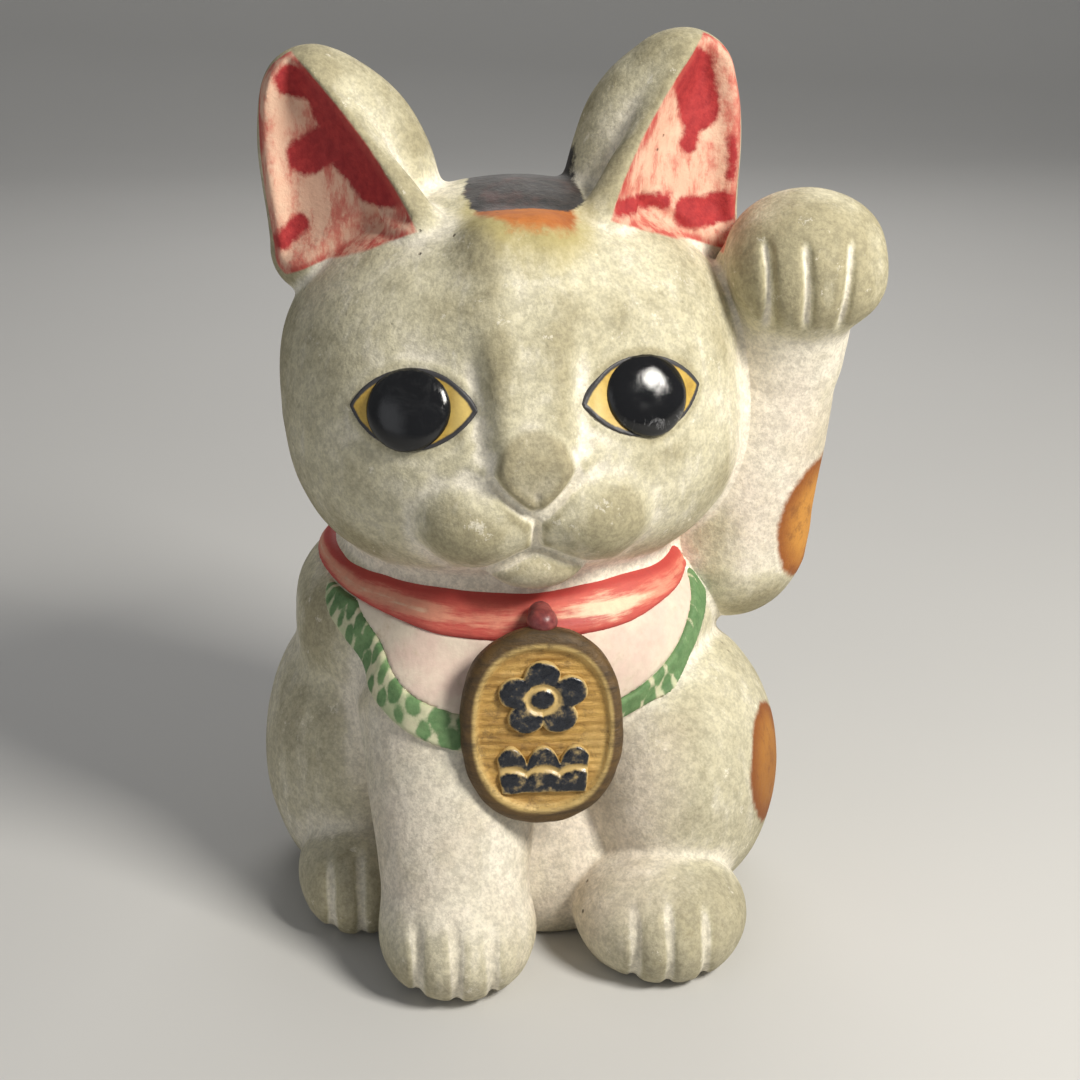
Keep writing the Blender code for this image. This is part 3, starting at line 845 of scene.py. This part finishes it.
class Paint:
    """A material and short ways to add nodes to it."""

    def __init__(self, name):
        self.material = bpy.data.materials.new(name)
        self.material.use_nodes = True
        self.tree = self.material.node_tree
        self.shader = self.tree.nodes["Principled BSDF"]
        self.place = self.node("ShaderNodeTexCoord").outputs["Object"]

    def node(self, kind, inputs=None, **settings):
        """A node with its settings and inputs; an input is a value or a socket."""
        made = self.tree.nodes.new(kind)
        for key, value in settings.items():
            setattr(made, key, value)
        for key, value in (inputs or {}).items():
            self.put(made.inputs[key], value)
        return made

    def put(self, socket, value):
        """Links a socket or sets a value."""
        if isinstance(value, bpy.types.NodeSocket):
            self.tree.links.new(value, socket)
        else:
            socket.default_value = value

    def level(self):
        """Height on the figure, in metres."""
        return self.node("ShaderNodeSeparateXYZ", {0: self.place}).outputs[2]

    def mask(self, name):
        """A point attribute."""
        return self.node("ShaderNodeAttribute", attribute_name=name).outputs["Fac"]

    def noise(self, scale, detail=4.0, rough=0.6, stretch=(1, 1, 1), warp=0.0):
        """Noise in metres: scale 100 gives features of 1 cm."""
        place = self.node("ShaderNodeMapping", {"Vector": self.place, "Scale": stretch}).outputs[0]
        inputs = {"Vector": place, "Scale": scale, "Detail": detail, "Roughness": rough, "Distortion": warp}
        return self.node("ShaderNodeTexNoise", inputs).outputs["Fac"]

    def math(self, operation, a, b):
        """One arithmetic step."""
        return self.node("ShaderNodeMath", {0: a, 1: b}, operation=operation).outputs[0]

    def add(self, a, b):
        """a + b"""
        return self.math("ADD", a, b)

    def times(self, a, b):
        """a * b"""
        return self.math("MULTIPLY", a, b)

    def minus(self, a, b):
        """a - b"""
        return self.math("SUBTRACT", a, b)

    def centred(self, value, spread):
        """Noise moved to lie round 0, and made that wide."""
        return self.times(self.minus(value, 0.5), spread)

    def step(self, value, low, high, to_low=0.0, to_high=1.0):
        """A smooth step of value between low and high."""
        inputs = {"Value": value, "From Min": low, "From Max": high, "To Min": to_low, "To Max": to_high}
        return self.node("ShaderNodeMapRange", inputs, interpolation_type="SMOOTHSTEP").outputs[0]

    def mix(self, amount, a, b, blend="MIX"):
        """A colour between a and b."""
        made = self.node("ShaderNodeMix", data_type="RGBA", blend_type=blend)
        self.put(made.inputs[0], amount)
        self.put(made.inputs[6], colour(a))
        self.put(made.inputs[7], colour(b))
        return made.outputs[2]

    def finish(self, base, roughness, height=None, depth=0.0004, strength=1.0):
        """Connects the shader."""
        self.put(self.shader.inputs["Base Color"], base)
        self.put(self.shader.inputs["Roughness"], roughness)
        if height is not None:
            inputs = {"Height": height, "Distance": depth, "Strength": strength}
            self.put(self.shader.inputs["Normal"], self.node("ShaderNodeBump", inputs).outputs[0])
        return self.material


def colour(value):
    """sRGB 0-255 to a linear colour with alpha; a socket is passed on."""
    if isinstance(value, bpy.types.NodeSocket):
        return value
    linear = [(c / 255 / 12.92) if c <= 10.3 else ((c / 255 + 0.055) / 1.055) ** 2.4 for c in value]
    return (*linear, 1.0)


def worn_white(m, broad, patchy, fine):
    """White paint, with olive patina on what sticks out and whiter paint in the creases."""
    pale = m.mask("pale")
    # olive where the surface bulges, whiter in creases and in the face's and toes' grooves
    relief = m.add(m.times(m.mask("wide"), 1.1), m.times(m.mask("tight"), 1.6))
    relief = m.minus(relief, m.times(m.mask("line"), 0.9))
    uneven = m.add(m.centred(broad, 0.5), m.centred(patchy, 0.85))
    patina = m.add(m.add(relief, uneven), m.times(pale, -0.42))
    base = m.mix(m.step(patina, -0.34, 0.10), (233, 226, 208), (203, 196, 168))
    base = m.mix(m.step(patina, 0.02, 0.48), base, (168, 159, 128))
    near_floor = m.times(m.step(m.level(), 0.075, 0.02), m.step(patchy, 0.3, 0.7, 0.15, 0.6))
    base = m.mix(near_floor, base, (178, 171, 148))
    dirt = m.times(m.step(m.noise(190, 6, 0.75), 0.52, 0.70), m.step(patina, -0.1, 0.4))
    base = m.mix(m.times(dirt, 0.6), base, (146, 137, 108))
    chips = m.step(m.noise(210, 6, 0.8), 0.61, 0.66)
    base = m.mix(m.times(chips, 0.55), base, (238, 232, 216))
    strokes = m.step(m.noise(150, 5, 0.7, stretch=(1, 1, 0.3)), 0.5, 0.72)
    base = m.mix(m.times(strokes, m.step(patina, 0.5, 0.0, 0, 0.4)), base, (244, 238, 224))
    blush = m.times(pale, m.step(broad, 0.38, 0.62, 0.05, 0.4))
    base = m.mix(blush, base, (228, 209, 195))
    nose = m.step(m.add(m.mask("nose"), m.centred(fine, 1.5)), 0.4, -1.4, 0, 0.6)
    base = m.mix(nose, base, m.mix(patchy, (150, 141, 112), (180, 168, 138)))
    grain = m.add(fine, m.centred(m.noise(1500, 2, 0.6), 0.6))
    speck = m.step(grain, 0.28, 0.72, 0.79, 1.14)
    grey = m.node("ShaderNodeCombineColor", {0: speck, 1: speck, 2: speck}).outputs[0]
    return m.mix(1.0, base, grey, "MULTIPLY")


def crown_patches(m, base, black, patchy, fine, wobble, ragged):
    """The orange and black patches between the ears, the orange one with a yellowed rim."""
    outline = m.mask("crown_orange")
    base = m.mix(m.step(m.add(outline, wobble), 5.5, 0.5, 0, 0.6), base, (176, 160, 92))
    ochre = m.mix(m.step(patchy, 0.3, 0.7), (196, 120, 56), (160, 88, 38))
    base = m.mix(m.step(m.add(outline, ragged), 0.8, -1.6), base, ochre)
    soot = m.mix(m.step(fine, 0.3, 0.7), (36, 34, 35), (60, 54, 50))
    soot = m.mix(m.step(m.noise(110, 4), 0.5, 0.7, 0, 0.5), soot, (92, 56, 50))
    return m.mix(black, base, soot)


def side_spots(m, base, wobble, ragged):
    """The orange spots on the arm and the thigh, browner at the rim and near the floor."""
    outline = m.mask("side_orange")
    orange = m.mix(m.step(m.add(outline, wobble), -7.0, 0.0), (204, 142, 60), (146, 82, 30))
    orange = m.mix(m.step(m.noise(170, 6, 0.8), 0.5, 0.66, 0, 0.5), orange, (116, 64, 26))
    orange = m.mix(m.step(m.level(), 0.06, 0.03, 0, 0.6), orange, (118, 66, 26))
    return m.mix(m.step(m.add(outline, m.times(ragged, 0.6)), 0.8, -0.8), base, orange)


def ear_insides(m, base, patchy, fine, ragged):
    """Pink and cream worn paint in the ears, with strokes of red left on it."""
    hollow = m.mask("ear_hollow")
    streaks = m.noise(260, 5, 0.72, stretch=(1, 1, 0.35))
    worn = m.mix(m.step(streaks, 0.42, 0.62), (226, 182, 156), (200, 112, 96))
    worn = m.mix(m.step(patchy, 0.34, 0.56), (228, 192, 166), worn)
    red = m.mix(m.step(fine, 0.25, 0.75), (146, 30, 36), (178, 52, 52))
    red_edge = m.add(m.mask("ear_red"), m.times(ragged, 0.8))
    worn = m.mix(m.step(red_edge, 0.7, -0.7), worn, red)
    rim_line = m.times(m.step(hollow, -2.0, -0.4), m.step(streaks, 0.35, 0.6, 0.2, 0.9))
    worn = m.mix(rim_line, worn, (184, 74, 66))
    return m.mix(m.step(m.add(hollow, m.times(ragged, 0.12)), 0.3, -0.3), base, worn)


def aged_clay():
    """The cat's painted clay: worn white, patches of colour, the ears' insides and small pits."""
    m = Paint("aged_white_clay")
    broad = m.noise(24, 5, 0.62, warp=0.4)
    patchy = m.noise(85, 6, 0.70)
    fine = m.noise(520, 4, 0.7)
    wobble = m.centred(m.noise(140, 5, 0.7), 5.0)
    ragged = m.add(wobble, m.centred(fine, 1.6))
    black = m.step(m.add(m.mask("crown_black"), ragged), 0.7, -0.5)

    base = worn_white(m, broad, patchy, fine)
    base = crown_patches(m, base, black, patchy, fine, wobble, ragged)
    base = side_spots(m, base, wobble, ragged)
    base = ear_insides(m, base, patchy, fine, ragged)
    cells = m.node("ShaderNodeTexVoronoi", {"Vector": m.place, "Scale": 260.0, "Randomness": 1.0})
    holes = m.step(cells.outputs["Distance"], 0.14, 0.06)
    pit = m.times(holes, m.step(m.noise(60, 3), 0.60, 0.66))
    base = m.mix(m.times(pit, 0.8), base, (84, 72, 56))

    rough = m.minus(m.step(patchy, 0.3, 0.7, 0.86, 0.72), m.times(black, 0.2))
    height = m.minus(m.add(m.times(fine, 0.55), m.times(patchy, 0.8)), pit)
    return m.finish(base, rough, height, 0.0006, 0.75)


def collar_paint():
    """Red brushed round the collar and worn through to cream."""
    m = Paint("worn_red_paint")
    streaks = m.noise(120, 6, 0.75, stretch=(0.35, 0.35, 3.2))
    fine = m.noise(620, 4, 0.7)
    wear = m.add(m.times(m.noise(34, 4, 0.6), 0.9), m.times(streaks, 0.9))
    wear = m.minus(wear, m.centred(m.mask("middle"), 0.5))
    base = m.mix(m.step(streaks, 0.3, 0.7), (190, 70, 64), (214, 104, 88))
    base = m.mix(m.step(wear, 0.86, 1.12), base, (224, 150, 124))
    base = m.mix(m.step(m.add(wear, m.mask("worn")), 1.02, 1.28), base, (236, 210, 178))
    base = m.mix(m.step(m.mask("edge"), -1.6, -0.4, 0, 0.75), base, (178, 52, 50))
    base = m.mix(m.step(fine, 0.35, 0.8, 0, 0.18), base, (120, 60, 50))
    height = m.add(streaks, m.times(fine, 0.4))
    return m.finish(base, m.step(streaks, 0.3, 0.7, 0.5, 0.72), height, 0.0004, 0.6)


def bib_paint():
    """White with a breath of pink."""
    m = Paint("pink_white_paint")
    broad = m.noise(60, 5, 0.65)
    fine = m.noise(520, 4, 0.7)
    base = m.mix(m.step(broad, 0.35, 0.65), (234, 220, 200), (226, 200, 186))
    base = m.mix(m.step(m.noise(130, 5, 0.7), 0.56, 0.72, 0, 0.6), base, (212, 192, 160))
    base = m.mix(m.step(fine, 0.3, 0.75, 0, 0.16), base, (150, 134, 110))
    height = m.add(m.times(broad, 0.8), m.times(fine, 0.5))
    return m.finish(base, 0.78, height, 0.0004, 0.6)


def trim_paint():
    """Round dabs of green on a cream edge."""
    m = Paint("green_dab_paint")
    fine = m.noise(520, 4, 0.7)
    dab = m.add(m.mask("dab"), m.centred(m.noise(220, 4, 0.7), 2.6))
    wash = m.mix(m.step(m.noise(90, 4), 0.35, 0.65), (216, 210, 178), (178, 190, 148))
    green = m.mix(m.step(m.noise(300, 4, 0.7), 0.3, 0.7), (86, 122, 76), (116, 150, 100))
    base = m.mix(m.step(dab, 0.4, -0.4), wash, green)
    base = m.mix(m.step(fine, 0.4, 0.8, 0, 0.2), base, (90, 84, 60))
    return m.finish(base, 0.7, m.add(fine, m.times(dab, -0.1)), 0.0004, 0.5)


def coin_paint():
    """Gold paint brushed across, rubbed dark at the rim, with a painted highlight along the lip round its
    sunken face.
    """
    m = Paint("brushed_gold_paint")
    strokes = m.noise(170, 6, 0.8, stretch=(0.35, 1, 2.2), warp=0.5)
    broad = m.noise(60, 4, 0.6)
    fine = m.noise(700, 4, 0.7)
    gold = m.mix(m.step(strokes, 0.36, 0.64), (200, 160, 86), (158, 120, 58))
    gold = m.mix(m.step(broad, 0.5, 0.75, 0, 0.5), gold, (224, 192, 124))
    dark = m.mix(m.step(strokes, 0.35, 0.65), (104, 78, 40), (70, 54, 32))
    rim = m.add(m.mask("rim"), m.centred(broad, 3.0))
    base = m.mix(m.step(rim, -3.6, -2.2), gold, dark)
    # a painted highlight: lighter gold along the lip round the sunken face
    lip = m.times(m.step(m.mask("lip"), 1.1, 0.2), m.step(strokes, 0.7, 0.4, 0.3, 1))
    base = m.mix(lip, base, (206, 176, 112))
    base = m.mix(m.step(m.noise(260, 6, 0.8), 0.5, 0.68, 0, 0.6), base, (92, 70, 40))
    base = m.mix(m.step(fine, 0.55, 0.75, 0, 0.45), base, (70, 52, 30))
    m.shader.inputs["Metallic"].default_value = 0.12
    height = m.add(m.times(strokes, 1.2), m.times(fine, 0.4))
    return m.finish(base, m.step(strokes, 0.3, 0.7, 0.42, 0.62), height, 0.0006, 0.7)


def ornament_paint():
    """Black enamel, chipped to gold along its edges."""
    m = Paint("chipped_black_enamel")
    fine = m.noise(420, 4, 0.7)
    edge = m.add(m.mask("edge"), m.centred(fine, 1.2))
    base = m.mix(m.step(fine, 0.4, 0.7), (24, 27, 34), (44, 48, 56))
    base = m.mix(m.step(edge, -0.55, -0.15), base, (198, 170, 112))
    return m.finish(base, m.step(fine, 0.3, 0.7, 0.2, 0.4), fine, 0.0004, 0.4)


def bell_paint():
    """Plum glaze-like paint."""
    m = Paint("plum_paint")
    fine = m.noise(300, 4, 0.7)
    base = m.mix(m.step(fine, 0.35, 0.7), (104, 44, 46), (150, 74, 70))
    return m.finish(base, 0.38, fine, 0.0003, 0.4)


def almond_paint():
    """Yellow paint, paler by the nose, with a dark line round it."""
    m = Paint("eye_yellow_paint")
    fine = m.noise(420, 4, 0.7)
    yellow = m.mix(m.step(fine, 0.3, 0.7), (206, 172, 78), (176, 140, 58))
    yellow = m.mix(m.step(m.mask("inner"), 6.5, 10.5, 0, 0.7), yellow, (222, 196, 120))
    line = m.add(m.mask("edge"), m.centred(fine, 0.5))
    base = m.mix(m.step(line, -1.15, -0.75), yellow, (58, 57, 60))
    return m.finish(base, 0.5, fine, 0.0003, 0.4)


def dome_paint():
    """Black enamel with worn, scuffed spots."""
    m = Paint("eye_black_enamel")
    scratches = m.noise(180, 6, 0.8, warp=1.5)
    worn = m.times(m.step(m.mask("scuff"), 0.0, 1.0), m.step(scratches, 0.50, 0.60))
    base = m.mix(m.noise(90, 4), (12, 12, 13), (26, 27, 30))
    base = m.mix(m.times(worn, 0.8), base, (104, 104, 106))
    rough = m.add(m.step(scratches, 0.35, 0.7, 0.06, 0.2), m.times(worn, 0.35))
    return m.finish(base, rough, scratches, 0.0002, 0.35)


def raw_clay():
    """The unpainted clay of the base plate."""
    m = Paint("raw_clay")
    broad = m.noise(40, 5, 0.65)
    fine = m.noise(600, 4, 0.7)
    base = m.mix(m.step(broad, 0.35, 0.65), (150, 132, 108), (122, 104, 84))
    base = m.mix(m.step(fine, 0.5, 0.8, 0, 0.4), base, (88, 74, 60))
    return m.finish(base, 0.9, m.add(broad, fine), 0.0006, 0.7)


# ---- Masks of the smaller pieces ----


def collar_marks(p):
    """Distance to the collar's edges, height on it, and where it is worn to cream."""
    height, half = collar_band(p)
    worn = 0.34 * np.exp(-((neck_angle(p) - 22) / 17) ** 2) - 0.1
    return {"edge": (np.abs(height) - 1) * half, "middle": np.abs(height), "worn": worn}


def trim_marks(side):
    """Distance to the nearest green dab, of two staggered rows."""

    def marks(p):
        angle = np.abs(neck_angle(p))
        along = np.radians(angle) * BIB_RADIUS * (1 + 0.3 * (angle / 60) ** 2)
        out = bib_height(p) + TRIM_WIDTH / 2
        size = (2.0 if side < 0 else 2.8) + 1.3 * lumps(p, 7.0, 9.0)
        best = np.full(along.shape, 9.0, np.float32)
        for row, shift in ((1.2, 0.0), (-1.9, 0.5)):
            step = ((along / DAB_STEP + shift) % 1.0 - 0.5) * DAB_STEP
            best = np.minimum(best, np.hypot(step, (out - row) * 0.9) - size)
        return {"dab": best}

    return marks


def coin_marks(p):
    """The coin's dark outer rim, and the lip round its sunken face, along which a highlight is painted."""
    c = coin_points(p)
    outline = coin_outline(c)
    rim = np.where(c[..., 1] > 0.5, 0.0, outline)
    sunken = np.where(c[..., 1] > -2.2, 3.0, 0.0)
    return {"rim": rim, "lip": np.abs(outline + COIN_RIM - 0.4) + sunken}


def ornament_marks(p):
    """How far a point lies below an ornament's top."""
    return {"edge": coin_points(p)[..., 1] + COIN_FACE + 0.75}


def almond_marks(side):
    """Distance to an almond's outline, and nearness to the nose."""

    def marks(p):
        _, e = eye_side(p, side)
        return {"edge": almond(e), "inner": -e[..., 0]}

    return marks


def dome_marks(side):
    """Where a dome is scuffed: low on the left one, hardly on the right one."""

    def marks(p):
        _, e = eye_side(p, side)
        scuff = ramp(-e[..., 2], 2.5, 5.0) if side > 0 else 0.12 * ramp(e[..., 2], -6, 0)
        return {"scuff": scuff}

    return marks


# ---- Pieces ----

# Grid steps, in millimetres.
HEAD_STEP, BODY_STEP, RELIEF_STEP = ((0.66, 0.85, 0.5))
BIB_STEP = 0.7
COIN_STEP = 0.4
EYE_STEP = 0.35
ORNAMENT_STEP = 0.25

SIDES = (("right", -1), ("left", 1))


def build_clay():
    """Head, body and arm, and the base plate as it is."""
    clay = aged_clay()
    head_nodes = ("face_shell", "head_back_shell", "ear_left", "ear_right")
    body_nodes = ("body_front_shell", "body_back_shell", "tail")
    for name, field, nodes, step in (
        ("clay_head", head_clay, head_nodes, HEAD_STEP),
        ("clay_body", body_clay, body_nodes, BODY_STEP),
        ("clay_arm", arm_clay, ("raised_arm",), HEAD_STEP),
    ):
        sculpted(name, field, 5.0, step, nodes, clay, clay_marks)
    plate = frame["nodes"]["base_plate"]
    plate.data.materials.clear()
    plate.data.materials.append(raw_clay())


def build_relief():
    """Collar, bib and its trim."""
    red, pink, green = collar_paint(), bib_paint(), trim_paint()
    sculpted("collar", collar_field, 4.0, RELIEF_STEP, ("collar_band",), red, collar_marks)
    trims = ("bib_trim_right", "bib_trim_left")
    sculpted("bib", panel_field, 4.0, BIB_STEP, ("bib_panel",), pink, beside=trims)
    for name, side in SIDES:
        node, field, marks = ("bib_trim_" + name,), trim_field(side), trim_marks(side)
        sculpted("bib_edge_" + name, field, 4.0, RELIEF_STEP, node, green, marks)


def build_coin():
    """Coin, its two ornaments and the bell."""
    enamel = ornament_paint()
    sculpted("coin_body", coin_field, 3.0, COIN_STEP, ("coin",), coin_paint(), coin_marks)
    for name, field, node in (
        ("coin_blossom", blossom_field, "coin_mark_upper"),
        ("coin_wave", wave_field, "coin_mark_lower"),
    ):
        sculpted(name, field, 2.0, ORNAMENT_STEP, (node,), enamel, ornament_marks)
    sculpted("bell", bell_field, 3.0, ORNAMENT_STEP, ("collar_bell",), bell_paint())


def build_eyes():
    """Two almonds and two domes."""
    yellow, black = almond_paint(), dome_paint()
    for name, side in SIDES:
        node, field, marks = ("eye_rim_" + name,), almond_field(side), almond_marks(side)
        sculpted("eye_almond_" + name, field, 3.0, EYE_STEP, node, yellow, marks)
        node, field, marks = ("eye_" + name,), dome_field(side), dome_marks(side)
        sculpted("eye_dome_" + name, field, 3.0, EYE_STEP, node, black, marks)


# ---- Floor, light and camera ----


FLOOR_FRONT = -1.2
FLOOR_BEND = 0.9  # where it starts to curve up
FLOOR_RADIUS = 0.5
FLOOR_TOP = 1.8
FLOOR_HALF = 2.5
FLOOR_GAP = 0.0002
FLOOR_SEGMENTS = 12


def build_floor():
    """A pale floor that curves up behind the figure."""
    profile = [(FLOOR_FRONT, 0.0), (FLOOR_BEND, 0.0)]
    for step in range(1, FLOOR_SEGMENTS + 1):
        angle = math.radians(90 * step / FLOOR_SEGMENTS)
        y = FLOOR_BEND + FLOOR_RADIUS * math.sin(angle)
        profile.append((y, FLOOR_RADIUS * (1 - math.cos(angle))))
    profile.append((FLOOR_BEND + FLOOR_RADIUS, FLOOR_TOP))
    points = [(x, y, z - FLOOR_GAP) for y, z in profile for x in (-FLOOR_HALF, FLOOR_HALF)]
    faces = [(2 * i, 2 * i + 1, 2 * i + 3, 2 * i + 2) for i in range(len(profile) - 1)]
    mesh = bpy.data.meshes.new("floor")
    mesh.from_pydata(points, [], faces)
    mesh.shade_smooth()
    floor = bpy.data.objects.new("floor", mesh)
    bpy.context.scene.collection.objects.link(floor)
    m = Paint("pale_floor")
    base = m.mix(m.noise(3, 3), (196, 195, 193), (204, 203, 201))
    mesh.materials.append(m.finish(base, 0.7))


def area_light(name, place, target, size, power, tint, gloss=1.0):
    """A soft lamp aimed at a point."""
    lamp = bpy.data.lights.new(name, "AREA")
    lamp.energy = power
    lamp.size = size
    lamp.color = tint
    lamp.specular_factor = gloss
    holder = bpy.data.objects.new(name, lamp)
    bpy.context.scene.collection.objects.link(holder)
    holder.location = place
    holder.rotation_euler = (Vector(target) - Vector(place)).to_track_quat("-Z", "Y").to_euler()


def build_light():
    """A warm key from the upper right, a weak fill from the left, and a dim grey room."""
    middle = (0, 0, 0.1)
    area_light("key", (0.40, -0.38, 0.56), middle, 0.2, 6.3, (1.0, 0.965, 0.89))
    area_light("fill", (-0.7, -0.6, 0.3), middle, 0.6, 0.7, (0.95, 0.97, 1.0), 0.2)
    area_light("back", (0.1, 0.7, 0.6), middle, 0.5, 2.0, (1.0, 0.98, 0.95))
    world = bpy.data.worlds.new("room")
    bpy.context.scene.world = world
    world.use_nodes = True
    background = world.node_tree.nodes["Background"]
    background.inputs["Color"].default_value = (0.95, 0.97, 1.0, 1)
    background.inputs["Strength"].default_value = 0.2
    bpy.context.scene.view_settings.view_transform = "Standard"


CAMERA_AZIMUTH = -5.5
CAMERA_ELEVATION = 21.0
CAMERA_DISTANCE = 0.447
CAMERA_LENS = 66.0
CAMERA_AIM = (0.0031, -0.0042, 0.0807)


def build_camera():
    """The camera, a little above the cat's face and to its left."""
    a, e = math.radians(CAMERA_AZIMUTH), math.radians(CAMERA_ELEVATION)
    back = Vector((math.sin(a) * math.cos(e), -math.cos(a) * math.cos(e), math.sin(e)))
    right = Vector((math.cos(a), math.sin(a), 0))
    up = back.cross(right)
    eye = Vector(CAMERA_AIM) + back * CAMERA_DISTANCE
    camera = bpy.data.cameras.new("camera")
    camera.lens = CAMERA_LENS
    camera.sensor_width = 36
    camera.clip_start = 0.01
    holder = bpy.data.objects.new("camera", camera)
    bpy.context.scene.collection.objects.link(holder)
    rows = [(right[i], up[i], back[i], eye[i]) for i in range(3)]
    holder.matrix_world = Matrix((*rows, (0, 0, 0, 1)))
    bpy.context.scene.camera = holder


build_clay()
build_relief()
build_coin()
build_eyes()
build_floor()
build_light()
build_camera()
